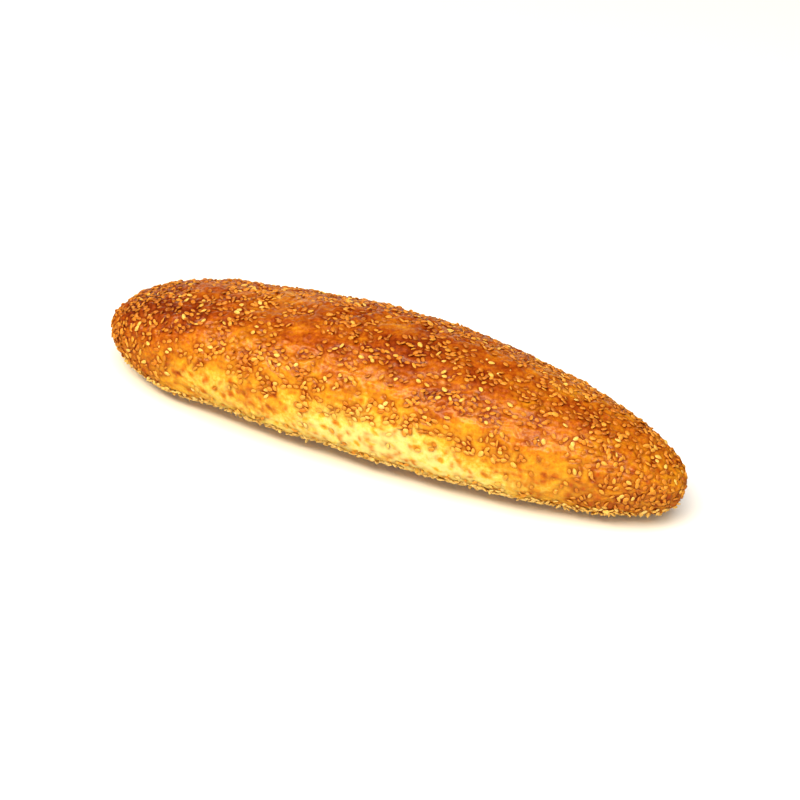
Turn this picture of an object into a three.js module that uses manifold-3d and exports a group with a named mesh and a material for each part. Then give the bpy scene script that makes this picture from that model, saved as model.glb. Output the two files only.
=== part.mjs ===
// A long sesame roll: one soft loaf with a flat base where it was baked, rounded ends and
// sesame seeds stuck in its crust. Millimetres, +Z up. X runs along the roll and Z = 0 is the
// base that it rests on. The blunter end is at -X and the slimmer end at +X.

import * as THREE from "three";
import { MeshSurfaceSampler } from "three/addons/math/MeshSurfaceSampler.js";
import { mergeVertices } from "three/addons/utils/BufferGeometryUtils.js";
import Module from "manifold-3d";

// Driving dimensions of the bare loaf.
const LENGTH = 300;
const WIDTH = 80;
const HEIGHT = 58;
// Height at which the loaf is widest.
const SHOULDER_Z = 20.5;
// How far the underside would curve down from the shoulder, had the tray not flattened it.
const BELLY_DEPTH = 22;

// How each end tapers, as [power, root] of (1 - |u|^power)^(1/root), with u from -1 to 1 along
// the loaf. A higher power stays full for longer, and a higher root ends more bluntly.
const BLUNT_END = { plan: [2.6, 2.4], crown: [1.85, 2.05], belly: [6.5, 2.0] };
const SLIM_END = { plan: [1.85, 2.25], crown: [1.85, 1.7], belly: [6.5, 3.2] };

// Roundness of the section: 2 is an ellipse, and more is boxier. Towards the blunt end the
// underside grows boxier, over this stretch of -u.
const CROWN_ROUNDNESS = 2.35;
const BELLY_ROUNDNESS = 2.0;
const BLUNT_BELLY_ROUNDNESS = 2.6;
const BLUNT_BELLY_FROM = 0.45;
const BLUNT_BELLY_TO = 0.85;

// Gentle swells of the crust: where each one lies along the loaf (u), at which angle round the
// section (0 = the +Y side, 90 = the top), how far it reaches (share of length, degrees), and
// how high it stands (mm, negative for a hollow).
const SWELLS = [
  { u: -0.72, angle: 118, reachU: 0.24, reachAngle: 50, height: 1.2 },
  { u: -0.42, angle: 78, reachU: 0.16, reachAngle: 46, height: -1.5 },
  { u: 0.02, angle: 70, reachU: 0.26, reachAngle: 44, height: 0.9 },
  { u: -0.3, angle: 152, reachU: 0.3, reachAngle: 26, height: 1.3 },
  { u: 0.08, angle: 128, reachU: 0.2, reachAngle: 30, height: -1.1 },
  { u: 0.46, angle: 150, reachU: 0.26, reachAngle: 28, height: 1.2 },
  { u: 0.3, angle: 30, reachU: 0.34, reachAngle: 30, height: 1.0 },
  { u: -0.35, angle: 24, reachU: 0.3, reachAngle: 28, height: 0.8 },
  { u: 0.66, angle: 84, reachU: 0.2, reachAngle: 48, height: 1.0 },
  { u: -0.82, angle: 205, reachU: 0.2, reachAngle: 40, height: 2.0 },
];

// How finely the loaf is faceted: stations along it, and steps round each section.
const STATIONS = 34;
const CROWN_STEPS = 14;
const SIDE_STEPS = 4;
const BASE_STEPS = 2;
// The base strip narrows to this angle either side of straight down as the ends lift.
const NARROWEST_BASE = THREE.MathUtils.degToRad(20);

// A hulled sesame seed: a flattened teardrop, pointed at one end.
const SEED_LENGTH = 3.3;
const SEED_WIDTH = 2.0;
const SEED_THICKNESS = 1.6;
const SEED_SIZE_SPREAD = 0.12;
// How deep a seed's middle plane lies under the crust.
const SEED_DEPTH = 0.22;
// Profile of the seed from its round end to its point: [share of length, share of width].
const SEED_PROFILE = [[0, 0], [0.22, 0.82], [0.62, 0.86], [1, 0]];
const SEED_SIDES = 6;

// Seeds keep this far apart where they lie thickest, and further where they are few.
const SEED_SPACING = 8.87;
const SEED_TRIES = 30000;
// Slivers that the fusing leaves are merged away where that moves the surface less than this.
const SLIVER = 0.03;
// No seed lies lower than this, so none reaches under the base.
const LOWEST_SEED_Z = 2.2;
// The pale lower side of the loaf, between its two ends, holds few seeds.
const PALE_SIDE_TOP_Z = 21;
const PALE_SIDE_END = 0.74;
const PALE_SIDE_SHARE = 0.3;

const CRUST_COLOUR = 0xc8792c;

const HALF_TURN = Math.PI;
const QUARTER_TURN = Math.PI / 2;

function taper(u, [power, root]) {
  return (1 - Math.abs(u) ** power) ** (1 / root);
}

function signedPower(value, exponent) {
  return Math.sign(value) * Math.abs(value) ** exponent;
}

// The section at u: its radii sideways, up from the shoulder and down from it, and how boxy it
// is below the shoulder.
function sectionShape(u) {
  const end = u < 0 ? BLUNT_END : SLIM_END;
  return {
    side: (WIDTH / 2) * taper(u, end.plan),
    crown: (HEIGHT - SHOULDER_Z) * taper(u, end.crown),
    belly: BELLY_DEPTH * taper(u, end.belly),
    bellyRoundness: THREE.MathUtils.lerp(
      BELLY_ROUNDNESS,
      BLUNT_BELLY_ROUNDNESS,
      THREE.MathUtils.smoothstep(-u, BLUNT_BELLY_FROM, BLUNT_BELLY_TO),
    ),
  };
}

// Bell-shaped sum of the swells at u and an angle round the section, in millimetres.
function swellHeight(u, angle) {
  const degrees = THREE.MathUtils.radToDeg(angle);
  return SWELLS.reduce((sum, swell) => {
    const along = (u - swell.u) / swell.reachU;
    const round = (degrees - swell.angle) / swell.reachAngle;
    return sum + swell.height * Math.exp(-(along ** 2) - round ** 2);
  }, 0);
}

// A point of the crust: u is -1 to 1 along the loaf, and the angle runs round the section from
// the +Y side over the top. The section is a superellipse above and below the shoulder, swollen
// outwards by the swells, and the tray flattens whatever would lie under Z = 0.
function crustPoint(u, angle) {
  const shape = sectionShape(u);
  const sine = Math.sin(angle);
  const exponent = 2 / (sine >= 0 ? CROWN_ROUNDNESS : shape.bellyRoundness);
  const across = signedPower(Math.cos(angle), exponent);
  const upwards = signedPower(sine, exponent);
  const fade = Math.sqrt(Math.max(0, 1 - u * u));
  const swell = swellHeight(u, angle) * fade;
  const rise = upwards * (sine >= 0 ? shape.crown : shape.belly);
  return new THREE.Vector3(
    (LENGTH / 2) * u,
    shape.side * across + swell * Math.cos(angle),
    Math.max(0, SHOULDER_Z + rise + swell * Math.max(0, sine)),
  );
}

// Angle below the horizontal at which the section at u meets the tray.
function baseEdgeAngle(u) {
  const { belly, bellyRoundness } = sectionShape(u);
  const widest = QUARTER_TURN - NARROWEST_BASE;
  if (belly <= SHOULDER_Z) return widest;
  const edge = Math.asin((SHOULDER_Z / belly) ** (bellyRoundness / 2));
  return Math.min(edge, widest);
}

// The angles round one section, placed so that a row of points runs along each base edge.
function sectionAngles(u) {
  const edge = baseEdgeAngle(u);
  const stretches = [
    [0, HALF_TURN, CROWN_STEPS],
    [HALF_TURN, edge, SIDE_STEPS],
    [HALF_TURN + edge, HALF_TURN - 2 * edge, BASE_STEPS],
    [2 * HALF_TURN - edge, edge, SIDE_STEPS],
  ];
  return stretches.flatMap(([start, sweep, steps]) =>
    Array.from({ length: steps }, (_, i) => start + (sweep * i) / steps),
  );
}

// The bare loaf as one closed mesh: rings of points between two tips.
function loafGeometry() {
  const points = [crustPoint(-1, 0)];
  for (let i = 1; i < STATIONS; i++) {
    const u = Math.sin(HALF_TURN * (i / STATIONS - 0.5));
    for (const angle of sectionAngles(u)) points.push(crustPoint(u, angle));
  }
  points.push(crustPoint(1, 0));

  const ringSize = CROWN_STEPS + 2 * SIDE_STEPS + BASE_STEPS;
  const last = points.length - 1;
  const faces = [];
  for (let j = 0; j < ringSize; j++) {
    const next = (j + 1) % ringSize;
    faces.push(0, 1 + next, 1 + j);
    faces.push(last, last - ringSize + j, last - ringSize + next);
    for (let i = 0; i < STATIONS - 2; i++) {
      const here = 1 + i * ringSize;
      const beyond = here + ringSize;
      faces.push(here + j, here + next, beyond + j);
      faces.push(here + next, beyond + next, beyond + j);
    }
  }
  return new THREE.BufferGeometry().setFromPoints(points).setIndex(faces);
}

// One seed at full size, lying along X with its flat side down and its middle at the origin.
function seedGeometry() {
  const profile = SEED_PROFILE.map(
    ([along, across]) =>
      new THREE.Vector2((across * SEED_WIDTH) / 2, (along - 0.5) * SEED_LENGTH),
  );
  return new THREE.LatheGeometry(profile, SEED_SIDES)
    .rotateZ(-QUARTER_TURN)
    .scale(1, SEED_THICKNESS / SEED_WIDTH, 1)
    .rotateX(QUARTER_TURN);
}

// Park and Miller's random numbers from 0 to 1, the same on each run.
function randomNumbers(start) {
  let state = start;
  return () => (state = (state * 48271) % 2147483647) / 2147483647;
}

// Share of the full number of seeds that the crust holds at a point.
function seedShare(point) {
  const between = Math.abs(point.x) < PALE_SIDE_END * (LENGTH / 2);
  return between && point.z < PALE_SIDE_TOP_Z ? PALE_SIDE_SHARE : 1;
}

// Where the seeds lie, with the outward normal of the crust there. Points are drawn evenly over
// the loaf, and one is kept if it is far enough from every seed so far.
function seedPlaces(loaf, random) {
  const smooth = loaf.clone();
  smooth.computeVertexNormals();
  const sampler = new MeshSurfaceSampler(new THREE.Mesh(smooth)).setRandomGenerator(random).build();
  const places = [];
  for (let i = 0; i < SEED_TRIES; i++) {
    const point = new THREE.Vector3();
    const normal = new THREE.Vector3();
    sampler.sample(point, normal);
    if (point.z < LOWEST_SEED_Z) continue;
    const room = SEED_SPACING / Math.sqrt(seedShare(point));
    if (places.every((other) => other.point.distanceTo(point) >= room)) {
      places.push({ point, normal: normal.normalize() });
    }
  }
  return places;
}

// Turns a seed by a spin about its own Z, stands that Z along the normal, and sinks the seed.
function seedMatrix({ point, normal }, spin, size) {
  const upright = new THREE.Quaternion().setFromUnitVectors(new THREE.Vector3(0, 0, 1), normal);
  const turned = upright.multiply(
    new THREE.Quaternion().setFromAxisAngle(new THREE.Vector3(0, 0, 1), spin),
  );
  const centre = point.clone().addScaledVector(normal, -SEED_DEPTH);
  return new THREE.Matrix4().compose(centre, turned, new THREE.Vector3(size, size, size));
}

const wasm = await Module();
wasm.setup();

function toSolid(geometry) {
  const bare = geometry.clone();
  bare.deleteAttribute("normal");
  bare.deleteAttribute("uv");
  const merged = mergeVertices(bare);
  return new wasm.Manifold(
    new wasm.Mesh({
      numProp: 3,
      vertProperties: new Float32Array(merged.attributes.position.array),
      triVerts: new Uint32Array(merged.index.array),
    }),
  );
}

function toGeometry(solid) {
  const { vertProperties, triVerts } = solid.getMesh();
  const geometry = new THREE.BufferGeometry()
    .setAttribute("position", new THREE.BufferAttribute(vertProperties, 3))
    .setIndex(new THREE.BufferAttribute(triVerts, 1));
  geometry.computeVertexNormals();
  return geometry;
}

// The loaf and its seeds fused into one solid.
function seededRoll() {
  const random = randomNumbers(20031);
  const loaf = loafGeometry();
  const seed = seedGeometry();
  const seeds = seedPlaces(loaf, random).map((place) => {
    const spin = 2 * HALF_TURN * random();
    const size = 1 + SEED_SIZE_SPREAD * (random() - 0.5);
    return toSolid(seed.clone().applyMatrix4(seedMatrix(place, spin, size)));
  });
  const solid = wasm.Manifold.union([toSolid(loaf), ...seeds]).simplify(SLIVER);
  console.log(seeds.length + " seeds, " + solid.numTri() + " triangles");
  return toGeometry(solid);
}

// The frame's origin is the middle of the base, so the mesh is centred on its own box.
const roll = new THREE.Mesh(
  seededRoll(),
  new THREE.MeshStandardMaterial({ color: CRUST_COLOUR, roughness: 0.55, metalness: 0 }),
);
roll.name = "roll";
roll.geometry.computeBoundingBox();
const middle = roll.geometry.boundingBox.getCenter(new THREE.Vector3());
roll.position.set(-middle.x, -middle.y, -roll.geometry.boundingBox.min.z);

const part = new THREE.Group();
part.add(roll);

export default part;
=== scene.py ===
# %% [markdown]
# # A sesame roll
#
# A long soft roll is one piece of dough. It is rolled in sesame seeds, proved, and baked on a
# tray, which leaves a flat base. The oven browns the top and both ends. The lower sides lie in
# the lee of the crown, so they stay pale.
#
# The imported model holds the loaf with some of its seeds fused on. This scene keeps that form
# and adds what the eye expects: a crust that changes from pale yellow to deep brown, more than
# three thousand seeds that sit in small dents of it, and the crumbs that cling along the base.

import math

import bpy
import numpy as np
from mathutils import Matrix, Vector


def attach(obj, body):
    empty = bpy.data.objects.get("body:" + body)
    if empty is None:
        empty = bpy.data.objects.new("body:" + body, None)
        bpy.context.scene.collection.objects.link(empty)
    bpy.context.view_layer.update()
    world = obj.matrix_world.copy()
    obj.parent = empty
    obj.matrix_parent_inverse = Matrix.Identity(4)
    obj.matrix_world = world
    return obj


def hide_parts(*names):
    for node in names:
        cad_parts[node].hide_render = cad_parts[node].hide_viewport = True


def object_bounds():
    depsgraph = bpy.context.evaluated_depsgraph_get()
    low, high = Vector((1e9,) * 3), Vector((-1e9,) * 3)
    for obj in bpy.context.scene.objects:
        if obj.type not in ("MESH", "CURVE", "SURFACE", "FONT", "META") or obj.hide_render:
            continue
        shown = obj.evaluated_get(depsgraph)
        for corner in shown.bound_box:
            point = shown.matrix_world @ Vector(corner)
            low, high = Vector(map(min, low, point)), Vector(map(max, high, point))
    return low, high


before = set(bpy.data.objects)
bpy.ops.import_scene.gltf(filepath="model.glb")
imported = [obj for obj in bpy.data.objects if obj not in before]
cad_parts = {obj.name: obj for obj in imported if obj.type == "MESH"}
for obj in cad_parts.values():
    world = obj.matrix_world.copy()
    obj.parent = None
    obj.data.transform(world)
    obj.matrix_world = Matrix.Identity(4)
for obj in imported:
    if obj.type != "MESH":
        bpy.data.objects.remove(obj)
cad_low, cad_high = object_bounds()
cad_size = np.array(cad_high) - np.array(cad_low)
MM = 0.001
print("the packed roll measures", np.round(cad_size / MM, 1), "mm")

# %% [markdown]
# ## The form of the loaf
#
# A loaf could be sculpted, or inflated from a cage. Here it is a formula, because the packed
# solid comes from the same formula and the two have to agree. Each section is a superellipse,
# which is an ellipse whose power may differ from 2: a little more than 2 makes the crown look
# fuller. Above the shoulder it has one height and below it another, and both shrink towards the
# ends.

# %% Sizes of the bare loaf
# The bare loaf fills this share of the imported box, before swells and seeds.
BARE_SHARE = np.array([0.999, 0.990, 0.9885])
LENGTH, WIDTH, HEIGHT = cad_size * BARE_SHARE
# The height at which the loaf is widest, and how deep its belly would hang without a tray.
SHOULDER_Z = 0.3534 * HEIGHT
BELLY_DEPTH = 0.3793 * HEIGHT
# The belly meets the tray in a soft bend instead of a sharp edge.
BASE_BEND = 0.4 * MM

# Tapers are (power, root) of (1 - |u|^power)^(1/root), with u from -1 to 1 along the loaf.
BLUNT_PLAN, BLUNT_CROWN, BLUNT_BELLY = (2.6, 2.4), (1.85, 2.05), (6.5, 2.0)
SLIM_PLAN, SLIM_CROWN, SLIM_BELLY = (1.85, 2.25), (1.85, 1.7), (6.5, 3.2)
# The underside is an ellipse, and grows boxier towards the blunt end, over this stretch of -u.
CROWN_ROUNDNESS, BELLY_ROUNDNESS, BLUNT_BELLY_ROUNDNESS = 2.35, 2.0, 2.6
BLUNT_BELLY_FROM, BLUNT_BELLY_TO = 0.45, 0.85

# Gentle swells: (u, angle in degrees, reach in u, reach in degrees, height).
SWELLS = [
    (-0.72, 118, 0.24, 50, 1.2 * MM),
    (-0.42, 78, 0.16, 46, -1.5 * MM),
    (0.02, 70, 0.26, 44, 0.9 * MM),
    (-0.30, 152, 0.30, 26, 1.3 * MM),
    (0.08, 128, 0.20, 30, -1.1 * MM),
    (0.46, 150, 0.26, 28, 1.2 * MM),
    (0.30, 30, 0.34, 30, 1.0 * MM),
    (-0.35, 24, 0.30, 28, 0.8 * MM),
    (0.66, 84, 0.20, 48, 1.0 * MM),
    (-0.82, 205, 0.20, 40, 2.0 * MM),
]
print("bare loaf", np.round(np.array([LENGTH, WIDTH, HEIGHT]) / MM, 1), "mm")


# %% The surface as a function of two parameters
def taper(u, shape):
    """(1 - |u|^power)^(1/root): 1 in the middle and 0 at both tips."""
    power, root = shape
    return np.maximum(0, 1 - np.abs(u) ** power) ** (1 / root)


def end_taper(u, blunt, slim):
    """The taper of the blunt end where u is under 0, and that of the slim end elsewhere."""
    return np.where(u < 0, taper(u, blunt), taper(u, slim))


def signed_power(value, exponent):
    """|value|^exponent, with the sign of the value."""
    return np.sign(value) * np.abs(value) ** exponent


def bell(value, middle, reach):
    """exp(-((value - middle) / reach)^2)."""
    return np.exp(-(((value - middle) / reach) ** 2))


def smooth_step(value, start, end):
    """0 before start and 1 after end, turning smoothly between them."""
    t = np.clip((value - start) / (end - start), 0, 1)
    return t * t * (3 - 2 * t)


def belly_roundness(u):
    """The roundness of the section below the shoulder."""
    boxier = smooth_step(-u, BLUNT_BELLY_FROM, BLUNT_BELLY_TO)
    return BELLY_ROUNDNESS + (BLUNT_BELLY_ROUNDNESS - BELLY_ROUNDNESS) * boxier


def crust_point(u, angle):
    """The point at u along the loaf and an angle round its section, from the +Y side over the top.
    y = side * cos^(2/n) and z = shoulder + height * sin^(2/n), with n the roundness, and each
    swell adds its bell-shaped height outwards. The tray bends what lies low up to z = 0."""
    side = WIDTH / 2 * end_taper(u, BLUNT_PLAN, SLIM_PLAN)
    crown = (HEIGHT - SHOULDER_Z) * end_taper(u, BLUNT_CROWN, SLIM_CROWN)
    belly = BELLY_DEPTH * end_taper(u, BLUNT_BELLY, SLIM_BELLY)
    cosine, sine = np.cos(angle), np.sin(angle)
    above = sine >= 0
    exponent = 2 / np.where(above, CROWN_ROUNDNESS, belly_roundness(u))
    degrees = np.degrees(angle)
    swell = sum(h * bell(u, at, ru) * bell(degrees, a, ra) for at, a, ru, ra, h in SWELLS)
    swell = swell * np.sqrt(np.maximum(0, 1 - u * u))
    y = side * signed_power(cosine, exponent) + swell * cosine
    rise = signed_power(sine, exponent) * np.where(above, crown, belly)
    z = SHOULDER_Z + rise + swell * np.maximum(0, sine)
    z = (z + np.sqrt(z * z + BASE_BEND ** 2)) / 2
    return np.stack([LENGTH / 2 * u, y, z], axis=-1)


# %% [markdown]
# ## A grid over the crust
#
# The relief of a crust is fine, so the grid has to be fine where it shows and can be coarse
# under the base. Stations at even steps of u would leave long gaps round the blunt tips. They
# are spaced evenly along the surface instead: the length of the profile is added up from tip
# to tip, and read backwards.

# %% Stations and angles of the grid
STATIONS = 404
CROWN_STEPS, SIDE_STEPS, BASE_STEPS = 162, 35, 6
# The base strip never gets narrower than this either side of straight down.
NARROWEST_BASE = math.radians(20)


def even_stations(count):
    """Values of u that split the side of the loaf into equal lengths, without the two tips."""
    fine = np.sin(np.linspace(-math.pi / 2, math.pi / 2, 20001))
    profile = crust_point(fine, np.full_like(fine, math.pi * 0.7))
    length = np.concatenate([[0], np.linalg.norm(np.diff(profile, axis=0), axis=1).cumsum()])
    return np.interp(np.linspace(0, length[-1], count + 2)[1:-1], length, fine)


def section_angles(u):
    """Angles round each section, with one row of points along each edge of the base."""
    belly = BELLY_DEPTH * end_taper(u, BLUNT_BELLY, SLIM_BELLY)
    lowest = math.pi / 2 - NARROWEST_BASE
    edge = np.arcsin(np.minimum(1, SHOULDER_Z / belly) ** (belly_roundness(u) / 2))
    edge = np.minimum(edge, lowest)[:, None]
    crown = np.linspace(0, math.pi, CROWN_STEPS, endpoint=False)[None, :] + 0 * edge
    side = np.linspace(0, 1, SIDE_STEPS, endpoint=False)[None, :]
    base = np.linspace(0, 1, BASE_STEPS, endpoint=False)[None, :]
    near = math.pi + edge * side
    under = math.pi + edge + (math.pi - 2 * edge) * base
    far = 2 * math.pi - edge + edge * side
    return np.concatenate([crown, near, under, far], axis=1)


stations = even_stations(STATIONS)
ANGLE = section_angles(stations)
U = np.repeat(stations[:, None], ANGLE.shape[1], axis=1)
SMOOTH = crust_point(U, ANGLE)


def grid_normals(grid):
    """Outward normals of a grid that closes on itself round each section."""
    along = np.gradient(grid, axis=0)
    round_it = np.roll(grid, -1, axis=1) - np.roll(grid, 1, axis=1)
    normal = np.cross(round_it, along)
    normal /= np.linalg.norm(normal, axis=-1, keepdims=True) + 1e-12
    outwards = np.sign(((grid - grid.mean(axis=1, keepdims=True)) * normal).sum(-1).mean())
    return normal * outwards


NORMAL = grid_normals(SMOOTH)
print("crust grid", SMOOTH.shape[0], "by", SMOOTH.shape[1])


# %% [markdown]
# ## Uneven, but smoothly so
#
# Nothing on a baked crust is regular, and nothing on it is white noise either. A sum of plane
# waves in random directions gives soft bumps of one size, and it needs no table or texture.

# %% Random waves
def waves(points, wavelength, seed, stretch=(1, 1, 1), count=28):
    """Soft random bumps about one wavelength apart, with a mean of 0 and a spread of 1: the sum
    of sine waves that run in random directions. A stretch over 1 draws the bumps out."""
    random = np.random.default_rng(seed)
    heading = random.normal(size=(count, 3))
    heading /= np.linalg.norm(heading, axis=1, keepdims=True)
    pitch = 2 * math.pi / wavelength * random.uniform(0.7, 1.4, size=(count, 1))
    phase = random.uniform(0, 2 * math.pi, size=count)
    travel = (points / np.array(stretch)) @ (heading * pitch).T + phase
    return np.sin(travel).sum(axis=-1) * math.sqrt(2 / count)


def layered_waves(points, layers):
    """The sum of waves of several sizes: height 1 times waves 1, plus height 2 times waves 2, and
    so on. A layer is (height, wavelength, seed, stretch along the loaf)."""
    return sum(
        height * waves(points, wavelength, seed, stretch=(stretch, 1, 1))
        for height, wavelength, seed, stretch in layers
    )


# %% [markdown]
# ## How brown the crust is
#
# The heat comes from above, so the browning follows the height: pale low on the side, golden at the
# shoulder, deep orange-brown on the crown. The ends brown all the way down, because nothing shades them.
# Long soft waves break it up, small toasted blotches dot the pale side, and the real roll's darkest and
# lightest patches are listed one by one. One long lighter band along the near shoulder is partly painted
# highlight, where the front light gleams. The result is one number for each point, from 0, pale, to 1,
# dark, which the crust's material turns into colour.

# %% Browning
PALE, TOP = 0.13, 0.78
PALE_TOP_Z, BROWN_Z = 17 * MM, 55 * MM
# The end stretches, beyond this share of the half length, brown down to this much.
ENDS_FROM, ENDS_TO = 0.40, 0.88
END_BROWN = 0.62
# The border between pale and brown wanders up and down, and the crown is mottled.
BORDER_WAVES = [(3.2 * MM, 34 * MM, 11, 1.6), (1.6 * MM, 9 * MM, 12, 1.5)]
CROWN_WAVES = [(0.045, 26 * MM, 13, 2.2), (0.035, 8 * MM, 14, 1.6)]
# Where the fine waves pass this height the pale side is blotched, by so much for each unit. The
# blotches fade out over a stretch of browning.
BLOTCH_WAVES = [(1, 5.5 * MM, 15, 1.3)]
BLOTCH_FROM, BLOTCH_DEPTH = 0.6, 0.20
BLOTCH_FADE = (0.32, 0.62)
# The base is one even brown, from where the crust faces down by these amounts.
BASE_BROWN = 0.50
FACES_DOWN = (0.75, 0.97)
# Patches that stand out: (u, angle in degrees, reach in u, reach in degrees, extra browning).
PATCHES = [
    (0.13, 96, 0.10, 13, 0.16),
    (0.38, 112, 0.09, 9, 0.10),
    (-0.62, 108, 0.16, 12, 0.08),
    (-0.22, 112, 0.12, 10, 0.10),
    (-0.20, 127, 0.18, 12, -0.09),
    (-0.28, 158, 0.10, 16, -0.10),
    (0.30, 158, 0.20, 14, -0.06),
    (0.60, 84, 0.12, 14, -0.06),
    (-0.42, 84, 0.10, 12, -0.07),
    (0.27, 168, 0.16, 16, -0.10),
    (-0.90, 105, 0.22, 60, 0.22),
    # This long band lightens the crust along the near shoulder, under the front light's gleam: partly
    # paler crust, partly painted highlight.
    (0.20, 136, 0.80, 17, -0.04),
    (-0.60, 138, 0.18, 14, 0.07),
    (0.10, 178, 0.22, 16, -0.15),
    (-0.57, 165, 0.10, 10, 0.09),
    (-0.74, 150, 0.09, 12, 0.07),
    (-0.12, 136, 0.07, 9, -0.07),
    (0.15, 138, 0.10, 10, 0.08),
    (0.18, 155, 0.07, 8, -0.05),
    (0.47, 174, 0.08, 8, 0.07),
    (0.64, 145, 0.09, 9, 0.05),
    (0.78, 128, 0.09, 12, -0.10),
    (0.92, 145, 0.08, 20, 0.06),
]


def browning(points, u, angle):
    """Height from pale to brown, lifted at the ends, plus soft blotches and the patches."""
    height = points[..., 2] + layered_waves(points, BORDER_WAVES)
    low = PALE + (END_BROWN - PALE) * smooth_step(np.abs(u), ENDS_FROM, ENDS_TO)
    shoulder_mix = smooth_step(height, PALE_TOP_Z, BROWN_Z)
    top = TOP + layered_waves(points, CROWN_WAVES)
    brown = low + (top - low) * shoulder_mix
    degrees = np.degrees(angle)
    for at, a, ru, ra, extra in PATCHES:
        brown = brown + extra * bell(u, at, ru) * bell(degrees, a, ra)
    blotch = np.maximum(0, layered_waves(points, BLOTCH_WAVES) - BLOTCH_FROM)
    brown = brown + BLOTCH_DEPTH * blotch * (1 - smooth_step(brown, *BLOTCH_FADE))
    underside = smooth_step(-NORMAL[..., 2], *FACES_DOWN)
    return np.clip(brown * (1 - underside) + BASE_BROWN * underside, 0, 1)


BROWN = browning(SMOOTH, U, ANGLE)
print("browning from", round(float(BROWN.min()), 2), "to", round(float(BROWN.max()), 2))

# %% [markdown]
# ## Where the seeds lie
#
# The seeds were picked up while the dough was wet. They lie thick at both ends and along the
# edge of the base, in loose clusters on the crown, and thin on the pale side, where the dough
# has swallowed most of them. A particle system could scatter them, but it would be lost in the
# export. So points are drawn over the grid, each cell as often as its area and its share of
# seeds ask for, and a point is dropped if an earlier one is too near.

# %% Scatter points over the crust
SEED_DRAWS = 7400
SEED_ROOM = 1.75 * MM
# On the crown the seeds form clusters, and between these the cover is thin.
CLUSTER_WAVES = [(1, 13 * MM, 21, 1.7), (0.6, 30 * MM, 22, 1.5)]
THIN_COVER = 0.06
# The ends, over a stretch of |u|, and the far side, over a stretch of y, have at least this cover.
END_STRETCH, END_COVER = (0.62, 0.90), 0.9
FAR_STRETCH, FAR_COVER = (6 * MM, 20 * MM), 0.55
# The pale side lacks this share of its cover, up to a height where the crown takes over.
SIDE_LACKS = 0.92
SIDE_TOP_Z, CROWN_FROM_Z = 27 * MM, 36 * MM
# A band of dry seeds runs along the edge of the base, and none lie under the roll.
FRINGE_Z, FRINGE_REACH, FRINGE_COVER = 7.5 * MM, 4.5 * MM, 1.1
LOWEST_SEED_Z = 1.3 * MM
# The spread of the seeds' headings on the crown, in radians, and what the ends add to it.
CROWN_SPREAD, MORE_AT_ENDS = 0.55, 0.9


def cell_areas(grid):
    """Area of the crust around each point of the grid."""
    along = np.gradient(grid, axis=0)
    round_it = (np.roll(grid, -1, axis=1) - np.roll(grid, 1, axis=1)) / 2
    return np.linalg.norm(np.cross(along, round_it), axis=-1)


def seed_share(points, u):
    """Share of a full cover of seeds: clustered on the crown, thin on the pale side."""
    cluster = layered_waves(points, CLUSTER_WAVES)
    crown = THIN_COVER + (1 - THIN_COVER) * smooth_step(cluster, -0.9, 1.0)
    at_ends = smooth_step(np.abs(u), *END_STRETCH)
    far_side = smooth_step(points[..., 1], *FAR_STRETCH)
    crown = crown + (1 - crown) * np.maximum(END_COVER * at_ends, FAR_COVER * far_side)
    bare_side = (1 - smooth_step(points[..., 2], SIDE_TOP_Z, CROWN_FROM_Z)) * (1 - at_ends)
    share = crown * (1 - SIDE_LACKS * bare_side)
    fringe = bell(points[..., 2], FRINGE_Z, FRINGE_REACH)
    share = np.maximum(share, FRINGE_COVER * fringe)
    return share * (points[..., 2] > LOWEST_SEED_Z)


def scatter(weight, draws, random):
    """Grid places drawn as often as their weight, as whole and broken row and column numbers."""
    flat = np.cumsum(weight.ravel())
    picked = np.searchsorted(flat, random.uniform(0, flat[-1], draws))
    row, column = np.unravel_index(picked, weight.shape)
    return np.stack([row, column], axis=1) + random.uniform(-0.5, 0.5, (draws, 2))


def at_place(grid, place):
    """Values of a grid between its points, from the four corners of the cell."""
    rows, columns = grid.shape[:2]
    row = np.clip(place[:, 0], 0, rows - 1.001)
    i = np.floor(row).astype(int)
    j = np.floor(place[:, 1]).astype(int)
    s = (row - i).reshape(-1, *[1] * (grid.ndim - 2))
    t = (place[:, 1] - j).reshape(-1, *[1] * (grid.ndim - 2))
    here, beyond = j % columns, (j + 1) % columns
    near = grid[i, here] * (1 - t) + grid[i, beyond] * t
    far = grid[i + 1, here] * (1 - t) + grid[i + 1, beyond] * t
    return near * (1 - s) + far * s


def thin_out(points, gap):
    """True for each point that has no earlier point nearer than the gap."""
    square = (points ** 2).sum(axis=1)
    distance = square[:, None] + square[None, :] - 2 * points @ points.T
    return ~np.tril(distance < gap ** 2, -1).any(axis=1)


def surface_axes(normal):
    """Two directions in the plane of the crust: along the loaf, and round its section."""
    along = np.cross(np.array([0.0, 1.0, 0.0]), normal)
    along /= np.linalg.norm(along, axis=-1, keepdims=True)
    return along, np.cross(normal, along)


def normal_at(places):
    """The outward normal of the bare crust at some places, of length 1."""
    normal = at_place(NORMAL, places)
    return normal / np.linalg.norm(normal, axis=1, keepdims=True)


random = np.random.default_rng(20031)
places = scatter(cell_areas(SMOOTH) * seed_share(SMOOTH, U), SEED_DRAWS, random)
places = places[thin_out(at_place(SMOOTH, places), SEED_ROOM)]
count = len(places)
seed_u = at_place(U, places)
at_edge = at_place(SMOOTH, places)[:, 2] < FRINGE_Z + FRINGE_REACH
spread = CROWN_SPREAD + MORE_AT_ENDS * smooth_step(np.abs(seed_u), 0.55, 0.9)
heading = random.normal(0, 1, count) * spread + math.pi * (random.uniform(size=count) < 0.5)
print(count, "places for seeds")

# %% [markdown]
# ## Seeds that the dough has swallowed
#
# Many seeds are under a skin of dough or glaze. They show as low bumps, and on the pale side as
# toasted orange spots too, so they are part of the crust's relief and colour, not pieces of
# their own.

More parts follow.
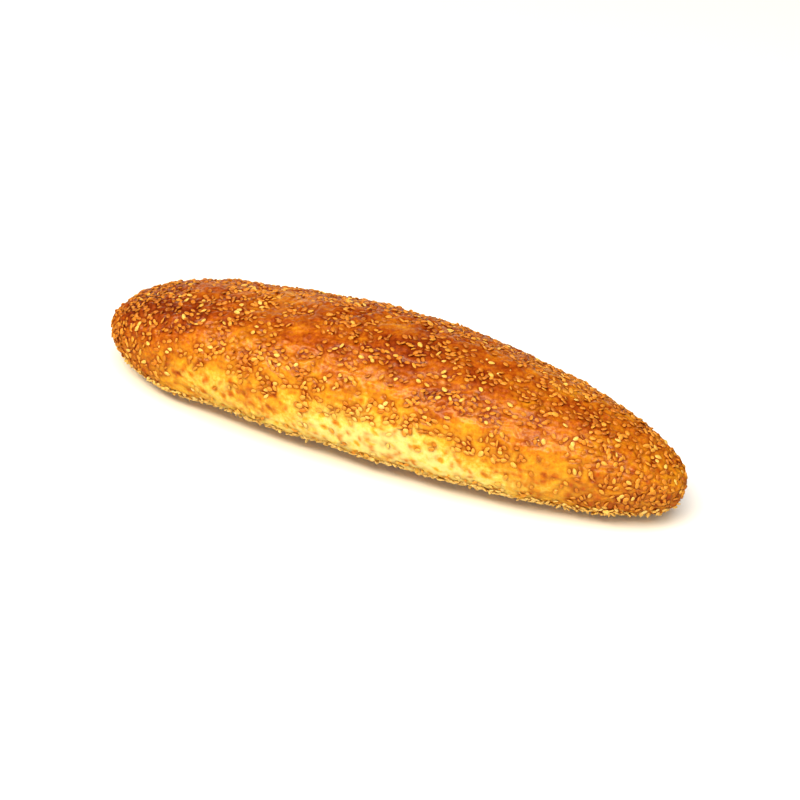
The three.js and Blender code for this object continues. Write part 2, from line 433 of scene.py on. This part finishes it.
# %% Scatter the swallowed seeds
SUNK_DRAWS = 6400
SUNK_ROOM = 2.0 * MM
CLUMP_WAVES = [(1, 17 * MM, 23, 1.6)]
THIN_CLUMPS = 0.15
LOWEST_SUNK_Z = 2 * MM
clumps = smooth_step(layered_waves(SMOOTH, CLUMP_WAVES), -0.6, 1.0)
clumps = THIN_CLUMPS + (1 - THIN_CLUMPS) * clumps
clumps *= SMOOTH[..., 2] > LOWEST_SUNK_Z
sunk_places = scatter(cell_areas(SMOOTH) * clumps, SUNK_DRAWS, random)
all_points = at_place(SMOOTH, np.concatenate([places, sunk_places]))
sunk_places = sunk_places[thin_out(all_points, SUNK_ROOM)[count:]]
sunk_count = len(sunk_places)
sunk_heading = random.normal(0, 0.8, sunk_count)
sunk_strength = random.uniform(0.1, 1.3, sunk_count)
print(sunk_count, "swallowed seeds")


# %% [markdown]
# ## Relief of the crust
#
# Every seed sits in a small dent, and the skin between them is gently wrinkled. Both are real
# geometry, a fraction of a millimetre deep. Each seed touches only the grid points near it, so
# a window of the grid is gathered for all seeds at once, and the windows are added up.

# %% Marks left by the seeds
def stamp(places, heading, length, width, strength=1.0, half_window=6):
    """Sum over the places of an oval bell, exp(-(along / length)^2 - (across / width)^2), times
    its strength. Only a window of the grid round each place is touched."""
    step = np.arange(-half_window, half_window + 1)
    di, dj = np.meshgrid(step, step, indexing="ij")
    i = np.rint(places[:, 0]).astype(int)[:, None] + di.ravel()
    j = np.rint(places[:, 1]).astype(int)[:, None] + dj.ravel()
    inside = (i >= 0) & (i < U.shape[0])
    i, j = np.clip(i, 0, U.shape[0] - 1), j % U.shape[1]
    offset = SMOOTH[i, j] - at_place(SMOOTH, places)[:, None, :]
    along, across = surface_axes(normal_at(places))
    pointing = np.cos(heading)[:, None] * along + np.sin(heading)[:, None] * across
    lengthwise = np.einsum("nkc,nc->nk", offset, pointing)
    crosswise = (offset ** 2).sum(axis=-1) - lengthwise ** 2
    depth = np.exp(-((lengthwise / length) ** 2) - crosswise / width ** 2) * inside
    marks = np.zeros(U.shape)
    np.add.at(marks, (i, j), depth * np.broadcast_to(strength, len(places))[:, None])
    return marks


DENT_LENGTH, DENT_WIDTH, DENT_DEPTH = 2.1 * MM, 1.5 * MM, 0.36 * MM
BUMP_LENGTH, BUMP_WIDTH, BUMP_HEIGHT = 1.6 * MM, 1.05 * MM, 0.46 * MM
# The crust is darker in the seat of each seed, and in a ring round each swallowed one: partly browner
# dough, partly painted shade round the foot of each seed.
SEAT_LENGTH, SEAT_WIDTH = 1.85 * MM, 1.3 * MM
RING_STRENGTH = 0.9
# On the pale side, under this stretch of browning, a swallowed seed has no dark ring.
RING_STRETCH = (0.20, 0.50)
# Above this stretch of height, it has no orange spot.
SPOT_STRETCH = (30 * MM, 42 * MM)
WRINKLES = [(0.22 * MM, 17 * MM, 31, 1.8), (0.11 * MM, 6.5 * MM, 32, 1.3), (0.15 * MM, 2.9 * MM, 33, 1.1)]
# The relief fades in from the tips, where all rows of the grid meet, and from the base.
TIP_STRETCH = (0.0, 0.004)
BASE_STRETCH = (0.4 * MM, 3 * MM)

dents = np.minimum(1.4, stamp(places, heading, DENT_LENGTH, DENT_WIDTH))
bumps = np.minimum(1.0, stamp(sunk_places, sunk_heading, BUMP_LENGTH, BUMP_WIDTH))
# Rings and seats darken the crust's colour: partly browner dough, partly painted shade where each seed
# meets the crust.
ring_browning_and_shade = np.maximum(0, stamp(sunk_places, sunk_heading, DENT_LENGTH, DENT_WIDTH) - 1.1 * bumps)
ring_browning_and_shade *= RING_STRENGTH * smooth_step(BROWN, *RING_STRETCH)
seat_browning_and_shade = np.minimum(1.0, stamp(places, heading, SEAT_LENGTH, SEAT_WIDTH) + ring_browning_and_shade)
spots = stamp(sunk_places, sunk_heading, BUMP_LENGTH, BUMP_WIDTH, sunk_strength)
spots = np.minimum(1.0, spots) * (1 - smooth_step(SMOOTH[..., 2], *SPOT_STRETCH))

relief = bumps * BUMP_HEIGHT - dents * DENT_DEPTH + layered_waves(SMOOTH, WRINKLES)
relief *= smooth_step(1 - np.abs(U), *TIP_STRETCH)
relief *= smooth_step(SMOOTH[..., 2], *BASE_STRETCH)
CRUST = SMOOTH + NORMAL * relief[..., None]
CRUST[..., 2] = np.maximum(CRUST[..., 2], 0)
print("relief from", round(float(relief.min() / MM), 2), "to", round(float(relief.max() / MM), 2), "mm")


# %% [markdown]
# ## From arrays to a mesh
#
# The grid closes on itself round each section, and one vertex at each tip closes the ends. The
# browning and the marks of the seeds go along as attributes, so that the material can read them.

# %% The crust as a closed mesh
def mesh_object(name, points, faces, attributes):
    """A smooth-shaded mesh object at the origin, with one number for each vertex and attribute."""
    mesh = bpy.data.meshes.new(name)
    mesh.from_pydata(points.reshape(-1, 3), [], faces)
    mesh.shade_smooth()
    for title, values in attributes.items():
        layer = mesh.attributes.new(title, "FLOAT", "POINT")
        layer.data.foreach_set("value", np.ascontiguousarray(values, np.float32).ravel())
    mesh.update()
    piece = bpy.data.objects.new(name, mesh)
    bpy.context.scene.collection.objects.link(piece)
    return piece


def closed_grid_faces(rows, columns):
    """Quads between the rows, then a fan of triangles to each tip vertex after the last row."""
    i, j = np.meshgrid(np.arange(rows - 1), np.arange(columns), indexing="ij")
    here = (i * columns + j).ravel()
    right = (i * columns + (j + 1) % columns).ravel()
    quads = np.stack([here, right, right + columns, here + columns], axis=1)
    j = np.arange(columns)
    first_tip = rows * columns
    start = np.stack([np.full(columns, first_tip), (j + 1) % columns, j], axis=1)
    last = (rows - 1) * columns
    end = np.stack([np.full(columns, first_tip + 1), last + j, last + (j + 1) % columns], axis=1)
    return quads.tolist() + start.tolist() + end.tolist()


def with_tips(grid, first, last):
    """A grid's values as one row for each vertex, followed by those of the two tips."""
    width = grid.shape[2:] if grid.ndim > 2 else ()
    return np.concatenate([grid.reshape(-1, *width), np.array([first, last]).reshape(2, *width)])


tips = crust_point(np.array([-1.0, 1.0]), np.array([0.0, 0.0]))
crust = mesh_object(
    "crust",
    with_tips(CRUST, *tips),
    closed_grid_faces(*U.shape),
    {
        "brown": with_tips(BROWN, BROWN[0].mean(), BROWN[-1].mean()),
        "seat_shade_and_browning": with_tips(seat_browning_and_shade, 0.3, 0.3),
        "spot": with_tips(spots, 0.0, 0.0),
    },
)
print("crust has", len(crust.data.polygons), "faces")

# %% [markdown]
# ## One sesame seed
#
# A hulled sesame seed is a flat drop: round at one end, pointed at the other, and thickest
# nearer the round end. Its outline comes from one formula, (1 + t)^a times (1 - t)^b, where the
# larger b draws out the point. Eight sides and four rings are enough at this size.

# %% Shape of a seed
SEED_LENGTH, SEED_WIDTH, SEED_THICKNESS = 3.15 * MM, 2.05 * MM, 1.0 * MM
SEED_RINGS = np.array([-0.88, -0.40, 0.24, 0.76])
SEED_SIDES = 8
ROUND_END, POINTED_END = 0.5, 0.68


def seed_shape():
    """Points of one seed at full size, along X from its round end, and the faces between them.
    The half width at t is (1 + t)^ROUND_END * (1 - t)^POINTED_END, over its largest value."""
    fine = np.linspace(-1, 1, 401)
    widest = ((1 + fine) ** ROUND_END * (1 - fine) ** POINTED_END).max()
    half = (1 + SEED_RINGS) ** ROUND_END * (1 - SEED_RINGS) ** POINTED_END / widest
    turn = 2 * math.pi * np.arange(SEED_SIDES) / SEED_SIDES
    x = np.repeat(SEED_RINGS[:, None] * SEED_LENGTH / 2, SEED_SIDES, axis=1)
    y = half[:, None] * np.cos(turn) * SEED_WIDTH / 2
    z = half[:, None] * np.sin(turn) * SEED_THICKNESS / 2
    ends = np.array([[-SEED_LENGTH / 2, 0, 0], [SEED_LENGTH / 2, 0, 0]])
    points = np.concatenate([np.stack([x, y, z], axis=-1).reshape(-1, 3), ends])
    # 1 along the seed's thin edge and 0 in the middle of its faces: where the material paints a
    # highlight.
    rim_highlight = np.concatenate([np.tile(np.abs(np.cos(turn)), len(SEED_RINGS)), [1, 1]])
    return points, rim_highlight, closed_grid_faces(len(SEED_RINGS), SEED_SIDES)


seed_points, seed_rim_highlight, seed_faces = seed_shape()
print("a seed has", len(seed_faces), "faces")


# %% [markdown]
# ## All the seeds
#
# Every seed gets its own size, heading, tilt and depth. They were rolled on along the loaf, so
# on the crown most of them point along it, while at the ends they lie every way. The copies
# are worked out as one array: seeds by points by coordinates.

# %% Place the seeds
def triangles_and_quads(faces, copies, vertices):
    """The faces of one shape repeated, with the vertex numbers of each copy moved on."""
    return [[corner + k * vertices for corner in face] for k in range(copies) for face in faces]


def lay_on(shape, centre, normal, heading, tilt, roll, size):
    """Copies of a shape on the crust. Its X runs along the loaf turned by the heading, its Z
    along the crust's normal, then it is tilted about its own Y and rolled about its own X."""
    x_axis, y_axis = surface_axes(normal)
    c, s = np.cos(heading)[:, None], np.sin(heading)[:, None]
    along, across = c * x_axis + s * y_axis, c * y_axis - s * x_axis
    c, s = np.cos(tilt)[:, None], np.sin(tilt)[:, None]
    along, upright = c * along + s * normal, c * normal - s * along
    c, s = np.cos(roll)[:, None], np.sin(roll)[:, None]
    across, upright = c * across + s * upright, c * upright - s * across
    axes = np.stack([along, across, upright], axis=1)
    return centre[:, None, :] + np.einsum("vk,nkc->nvc", shape, axes) * size[:, None, None]


SEED_TILT, SEED_ROLL = math.radians(17), math.radians(24)
SEED_STANDS = (-0.15, 0.42)
# The dry seeds along the base stand out further, and every way.
FRINGE_TILT, FRINGE_STANDS = math.radians(32), 0.35
SIZE_SPREAD = 0.10
# Seeds are toasted more where the crust is browner. A few cream ones stand out, some in groups.
LEAST_TOAST, TOAST_WITH_CRUST, TOAST_SPREAD = 0.35, 0.56, 0.13
CREAM_SHARE, CREAM_GROUPS = 0.05, 0.16
# The dry seeds along the base are toasted by this share of what the others are.
DRY_TOAST = 0.30

seed_normal = normal_at(places)
stands = random.uniform(*SEED_STANDS, count) + FRINGE_STANDS * at_edge
seeds_xyz = lay_on(
    seed_points,
    at_place(CRUST, places) + seed_normal * stands[:, None] * SEED_THICKNESS,
    seed_normal,
    heading,
    random.normal(0, 1, count) * np.where(at_edge, FRINGE_TILT, SEED_TILT),
    random.normal(0, SEED_ROLL, count),
    1 + random.normal(0, SIZE_SPREAD, count),
)
seeds_xyz[..., 2] = np.maximum(seeds_xyz[..., 2], 0.08 * MM)

# How toasted each seed is, from 0, cream, to 1, brown.
toast = LEAST_TOAST + TOAST_WITH_CRUST * at_place(BROWN, places)
toast += random.normal(0, TOAST_SPREAD, count)
groups = smooth_step(waves(at_place(SMOOTH, places), 16 * MM, 24), 0.7, 1.5)
cream = random.uniform(size=count) < CREAM_SHARE + CREAM_GROUPS * groups
toast = np.where(cream, 0.10 + 0.5 * (toast - 0.4), toast)
toast = np.where(at_edge, DRY_TOAST * toast, toast)


def seed_piece(name, chosen):
    """One mesh of all the chosen seeds."""
    number, per_seed = int(chosen.sum()), len(seed_points)
    piece = mesh_object(
        name,
        seeds_xyz[chosen],
        triangles_and_quads(seed_faces, number, per_seed),
        {
            "toast": np.repeat(np.clip(toast[chosen], 0, 1), per_seed),
            "rim_highlight": np.tile(seed_rim_highlight, number),
        },
    )
    print(number, "seeds in", name + ",", len(piece.data.polygons), "faces")
    return piece


glazed_seeds = seed_piece("glazed_seeds", ~at_edge)
dry_seeds = seed_piece("dry_seeds", at_edge)

# %% [markdown]
# ## Crumbs along the base
#
# Broken seeds and specks of dry dough cling where the loaf met the tray. Each is a small lump:
# a ball of twenty-four faces, squeezed at random, which is enough for a speck.

# %% Place the crumbs
CRUMB_DRAWS = 1700
CRUMB_SIZE, CRUMB_ROOM = 0.42 * MM, 0.8 * MM
# Most lie near the edge of the base, and a few anywhere else, but none under the roll.
CRUMB_Z, CRUMB_REACH = 7 * MM, 4 * MM
CRUMBS_ELSEWHERE = 0.012
LOWEST_CRUMB_Z = 1.0 * MM


def crumb_shape():
    """A small ball as a grid of three rings with six sides, of radius 1."""
    lift = np.array([-0.72, 0.0, 0.72])
    turn = 2 * math.pi * np.arange(6) / 6
    reach = np.sqrt(1 - lift ** 2)[:, None]
    x = np.repeat(lift[:, None], 6, axis=1)
    ring = np.stack([x, reach * np.cos(turn), reach * np.sin(turn)], axis=-1)
    points = np.concatenate([ring.reshape(-1, 3), [[-1, 0, 0], [1, 0, 0]]])
    return points, closed_grid_faces(3, 6)


crumb_points, crumb_faces = crumb_shape()
near_base = bell(SMOOTH[..., 2], CRUMB_Z, CRUMB_REACH)
crumb_weight = cell_areas(SMOOTH) * (near_base + CRUMBS_ELSEWHERE)
crumb_weight *= SMOOTH[..., 2] > LOWEST_CRUMB_Z
crumb_places = scatter(crumb_weight, CRUMB_DRAWS, random)
crumb_places = crumb_places[thin_out(at_place(SMOOTH, crumb_places), CRUMB_ROOM)]
crumb_count = len(crumb_places)
squeeze = random.uniform(0.6, 1.25, (crumb_count, 1, 3))
crumbs_xyz = lay_on(
    crumb_points * CRUMB_SIZE,
    np.zeros((crumb_count, 3)),
    normal_at(crumb_places),
    random.uniform(0, math.pi, crumb_count),
    random.normal(0, 0.4, crumb_count),
    random.normal(0, 0.4, crumb_count),
    random.uniform(0.55, 1.35, crumb_count),
)
crumbs_xyz = crumbs_xyz * squeeze + at_place(CRUST, crumb_places)[:, None, :]
crumbs_xyz[..., 2] = np.maximum(crumbs_xyz[..., 2], 0.05 * MM)
crumbs = mesh_object(
    "crumbs",
    crumbs_xyz,
    triangles_and_quads(crumb_faces, crumb_count, len(crumb_points)),
    {"toast": np.repeat(random.uniform(0.0, 0.55, crumb_count), len(crumb_points))},
)
print(crumb_count, "crumbs")


# %% [markdown]
# ## Finishes
#
# A material is a small network of nodes. The helpers below keep each network readable: one adds
# a node, one turns a colour picked on screen into the linear values that the shader works in,
# and one lays such colours out on a ramp.

# %% Helpers for materials
def screen(red, green, blue):
    """A colour as seen on screen, 0 to 255, as the linear values of the shader."""
    share = np.array([red, green, blue]) / 255
    linear = np.where(share <= 0.04045, share / 12.92, ((share + 0.055) / 1.055) ** 2.4)
    return (*linear.tolist(), 1.0)


def add_node(material, kind, inputs=None, **settings):
    """A node with its settings, its plain input values and its links from other sockets."""
    node = material.node_tree.nodes.new(kind)
    for name, value in settings.items():
        setattr(node, name, value)
    for name, value in (inputs or {}).items():
        if isinstance(value, bpy.types.NodeSocket):
            material.node_tree.links.new(value, node.inputs[name])
        else:
            node.inputs[name].default_value = value
    return node


def calculate(material, operation, first, second):
    """The result of one sum, product or the like of two sockets or numbers."""
    node = add_node(material, "ShaderNodeMath", {0: first, 1: second}, operation=operation)
    return node.outputs[0]


def colour_ramp(material, factor, stops):
    """Colours laid out along a factor from 0 to 1."""
    node = add_node(material, "ShaderNodeValToRGB", {"Fac": factor})
    ramp = node.color_ramp
    for position, colour in stops[1:-1]:
        ramp.elements.new(position).color = colour
    ramp.elements[0].position, ramp.elements[0].color = stops[0]
    ramp.elements[-1].position, ramp.elements[-1].color = stops[-1]
    return node.outputs["Color"]


def mix_colour(material, factor, first, second, blend="MIX"):
    """Two colours mixed, or multiplied, by a factor."""
    node = add_node(material, "ShaderNodeMix", data_type="RGBA", blend_type=blend)
    for socket, value in ((node.inputs[0], factor), (node.inputs[6], first), (node.inputs[7], second)):
        if isinstance(value, bpy.types.NodeSocket):
            material.node_tree.links.new(value, socket)
        else:
            socket.default_value = value
    return node.outputs[2]


def attribute(material, name):
    """A number that the mesh carries at each vertex."""
    return add_node(material, "ShaderNodeAttribute", attribute_name=name).outputs["Fac"]


def grain(material, size, detail, stretch=1.0, roughness=0.5):
    """Noise with grains of about one size, drawn out along the loaf by the stretch."""
    place = add_node(material, "ShaderNodeTexCoord").outputs["Object"]
    turned = add_node(
        material, "ShaderNodeMapping", {"Vector": place, "Scale": (1 / stretch, 1, 1)}
    ).outputs["Vector"]
    noise = add_node(
        material,
        "ShaderNodeTexNoise",
        {"Vector": turned, "Scale": 1 / size, "Detail": detail, "Roughness": roughness},
    )
    return noise.outputs["Fac"]


def new_material(name):
    """An empty material with a Principled shader on its output."""
    material = bpy.data.materials.new(name)
    material.use_nodes = True
    material.node_tree.nodes.clear()
    shader = add_node(material, "ShaderNodeBsdfPrincipled")
    add_node(material, "ShaderNodeOutputMaterial", {"Surface": shader.outputs["BSDF"]})
    return material, shader


def feed(material, shader, **sockets):
    """Sets or links the shader's sockets. An underscore in a name stands for a space."""
    for name, value in sockets.items():
        socket = shader.inputs[name.replace("_", " ")]
        if isinstance(value, bpy.types.NodeSocket):
            material.node_tree.links.new(value, socket)
        else:
            socket.default_value = value


# %% [markdown]
# ## The crust's finish
#
# The browning attribute gives the broad colour. Two grains of noise shift it a little, so that the ramp
# breaks into speckles as a crust does. Round each seed the crust is darker, partly because the dough
# fries there and partly as painted shade where the seed meets the crust, and a swallowed seed shows
# through as an orange spot. The crust was brushed before baking, so a soft coat lies over a duller base.

# %% Crust material
def crust_material():
    material, shader = new_material("baked_crust")
    brown = attribute(material, "brown")
    coarse = calculate(material, "SUBTRACT", grain(material, 11 * MM, 3, stretch=1.7), 0.5)
    fine = calculate(material, "SUBTRACT", grain(material, 1.7 * MM, 4, roughness=0.65), 0.5)
    shifted = calculate(material, "ADD", brown, calculate(material, "MULTIPLY", coarse, 0.36))
    shifted = calculate(material, "ADD", shifted, calculate(material, "MULTIPLY", fine, 0.70))
    colour = colour_ramp(
        material,
        shifted,
        [
            (0.00, screen(221, 202, 122)),
            (0.18, screen(219, 187, 78)),
            (0.36, screen(214, 154, 32)),
            (0.54, screen(200, 130, 14)),
            (0.70, screen(182, 98, 5)),
            (0.84, screen(157, 67, 1)),
            (1.00, screen(120, 40, 0)),
        ],
    )
    spot = calculate(material, "MULTIPLY", attribute(material, "spot"), 0.90)
    colour = mix_colour(material, spot, colour, screen(218, 140, 66), blend="MULTIPLY")
    # Partly browner dough, partly painted shade: the colour is multiplied darker round each seed.
    seat_shade_and_browning = calculate(material, "MULTIPLY", attribute(material, "seat_shade_and_browning"), 0.95)
    colour = mix_colour(material, seat_shade_and_browning, colour, screen(162, 90, 42), blend="MULTIPLY")
    skin = grain(material, 1.1 * MM, 5, roughness=0.6)
    pores = grain(material, 0.45 * MM, 3)
    height = calculate(material, "ADD", skin, calculate(material, "MULTIPLY", pores, 0.4))
    bump = add_node(
        material, "ShaderNodeBump", {"Strength": 0.8, "Distance": 0.30 * MM, "Height": height}
    )
    gloss = add_node(
        material,
        "ShaderNodeMapRange",
        {"Value": grain(material, 6 * MM, 3), "To Min": 0.34, "To Max": 0.48},
    ).outputs["Result"]
    feed(
        material,
        shader,
        Base_Color=colour,
        Roughness=gloss,
        Normal=bump.outputs["Normal"],
        Specular_IOR_Level=0.24,
        Specular_Tint=(1.0, 0.82, 0.54, 1.0),
        Coat_Weight=0.40,
        Coat_Roughness=0.22,
    )
    return material


crust.data.materials.append(crust_material())


# %% [markdown]
# ## The seeds' finish
#
# Each seed carries how toasted it is. Its flat face is tan, and its rim is lightened by a painted
# highlight, which is what makes seeds readable against a crust of nearly the same colour. Their skin is
# smooth and slightly oily.

# %% Seed and crumb materials
def seed_material(name, has_rim_highlight, roughness):
    material, shader = new_material(name)
    toast = attribute(material, "toast")
    speckle = calculate(material, "SUBTRACT", grain(material, 0.9 * MM, 2), 0.5)
    toast = calculate(material, "ADD", toast, calculate(material, "MULTIPLY", speckle, 0.25))
    colour = colour_ramp(
        material,
        toast,
        [
            (0.00, screen(230, 202, 126)),
            (0.25, screen(225, 178, 84)),
            (0.50, screen(209, 141, 44)),
            (0.75, screen(187, 104, 16)),
            (1.00, screen(142, 62, 3)),
        ],
    )
    if has_rim_highlight:
        # Painted highlight: the rim of each seed is mixed towards a paler tan.
        rim_highlight = calculate(material, "MULTIPLY", attribute(material, "rim_highlight"), 0.22)
        colour = mix_colour(material, rim_highlight, colour, screen(226, 168, 70))
    bump = add_node(
        material,
        "ShaderNodeBump",
        {"Strength": 0.3, "Distance": 0.12 * MM, "Height": grain(material, 0.5 * MM, 3)},
    )
    feed(
        material,
        shader,
        Base_Color=colour,
        Roughness=roughness,
        Normal=bump.outputs["Normal"],
        Specular_IOR_Level=0.50,
        Specular_Tint=(1.0, 0.88, 0.66, 1.0),
    )
    return material


glazed_seeds.data.materials.append(seed_material("glazed_seed", True, 0.33))
dry_seeds.data.materials.append(seed_material("dry_seed", True, 0.60))
crumbs.data.materials.append(seed_material("dry_crumb", False, 0.75))

# %% [markdown]
# ## Floor, light and camera
#
# The roll lies on a white surface. A long soft light stands high in front and gives the soft
# gleam on the near shoulder. A second one low behind draws a thin gleam along the far edge. A
# large one overhead lightens every side, and a warm one low in front lightens the pale side.
# The camera looks down on the roll from the front right.

# %% Floor
FLOOR_HALF = 4.0
FLOOR_CORNERS = FLOOR_HALF * np.array([(-1, -1, 0), (1, -1, 0), (1, 1, 0), (-1, 1, 0)])
floor = mesh_object("floor", FLOOR_CORNERS, [(0, 1, 2, 3)], {})
floor_material, floor_shader = new_material("white_surface")
feed(floor_material, floor_shader, Base_Color=(0.90, 0.90, 0.90, 1.0), Roughness=0.8)
floor.data.materials.append(floor_material)
# The glaze doesn't mirror the floor, which would veil the sides in white.
floor.visible_glossy = False


# %% Lights
def soft_light(name, direction, distance, width, depth, power, colour=(1, 1, 1)):
    """A rectangular light that looks at the roll from a direction."""
    data = bpy.data.lights.new(name, "AREA")
    data.shape = "RECTANGLE"
    data.size, data.size_y = width, depth
    data.energy = power
    data.color = colour
    lamp = bpy.data.objects.new(name, data)
    heading = Vector(direction).normalized()
    lamp.location = heading * distance + Vector((0, 0, HEIGHT / 2))
    lamp.rotation_euler = heading.to_track_quat("Z", "Y").to_euler()
    bpy.context.scene.collection.objects.link(lamp)
    return lamp


# A glaze on brown crust gleams tan, so the two lights that it mirrors are warm.
GLEAM = (1.0, 0.85, 0.56)
soft_light("front_softbox", (-0.08, -0.54, 0.84), 1.4, 2.2, 0.26, 24, GLEAM)
soft_light("back_softbox", (-0.45, 0.88, 0.11), 1.6, 1.8, 0.20, 4, GLEAM)
# These two only fill: they would veil the whole crust if the glaze mirrored them.
fills = [
    soft_light("overhead_fill", (0.10, -0.25, 0.96), 1.5, 1.8, 1.2, 24, (0.95, 0.98, 1.0)),
    soft_light("low_fill", (0.10, -0.95, 0.22), 1.5, 1.8, 0.6, 7.6, (1.0, 0.86, 0.62)),
]
for fill in fills:
    fill.visible_glossy = False

# The room is a warm white, but dim where the glaze mirrors it, so that the gleams stay clear.
ROOM_GLOW, ROOM_MIRRORED = 0.32, 0.02
world = bpy.data.worlds.new("soft_room")
world.use_nodes = True
room = world.node_tree
mirrored = room.nodes.new("ShaderNodeLightPath").outputs["Is Glossy Ray"]
dimmer = room.nodes.new("ShaderNodeMapRange")
dimmer.inputs["To Min"].default_value = ROOM_GLOW
dimmer.inputs["To Max"].default_value = ROOM_MIRRORED
room.links.new(mirrored, dimmer.inputs["Value"])
room.links.new(dimmer.outputs["Result"], room.nodes["Background"].inputs["Strength"])
room.nodes["Background"].inputs["Color"].default_value = (1.0, 0.93, 0.86, 1.0)
bpy.context.scene.world = world
bpy.context.scene.view_settings.view_transform = "Standard"

# %% Camera
# The view of the photograph, found by fitting the loaf's outline to it.
AZIMUTH, ELEVATION = math.radians(28.57), math.radians(33.5)
DISTANCE = 1.1
LOOK_AT = Vector((0, 0, 0.03))
LENS = 106.0
SHIFT_X, SHIFT_Y = 0.0163, -0.0268

camera_data = bpy.data.cameras.new("camera")
camera_data.lens = LENS
camera_data.sensor_width = 36.0
camera_data.shift_x, camera_data.shift_y = SHIFT_X, SHIFT_Y
camera = bpy.data.objects.new("camera", camera_data)
back = Vector((
    math.sin(AZIMUTH) * math.cos(ELEVATION),
    -math.cos(AZIMUTH) * math.cos(ELEVATION),
    math.sin(ELEVATION),
))
camera.location = LOOK_AT + back * DISTANCE
camera.rotation_euler = back.to_track_quat("Z", "Y").to_euler()
bpy.context.scene.collection.objects.link(camera)
bpy.context.scene.camera = camera

# %% [markdown]
# ## Tie the looks to the frame
#
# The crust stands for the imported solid, which is hidden. The seeds and crumbs ride along.

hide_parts("roll")
for piece in (crust, glazed_seeds, dry_seeds, crumbs):
    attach(piece, "root")
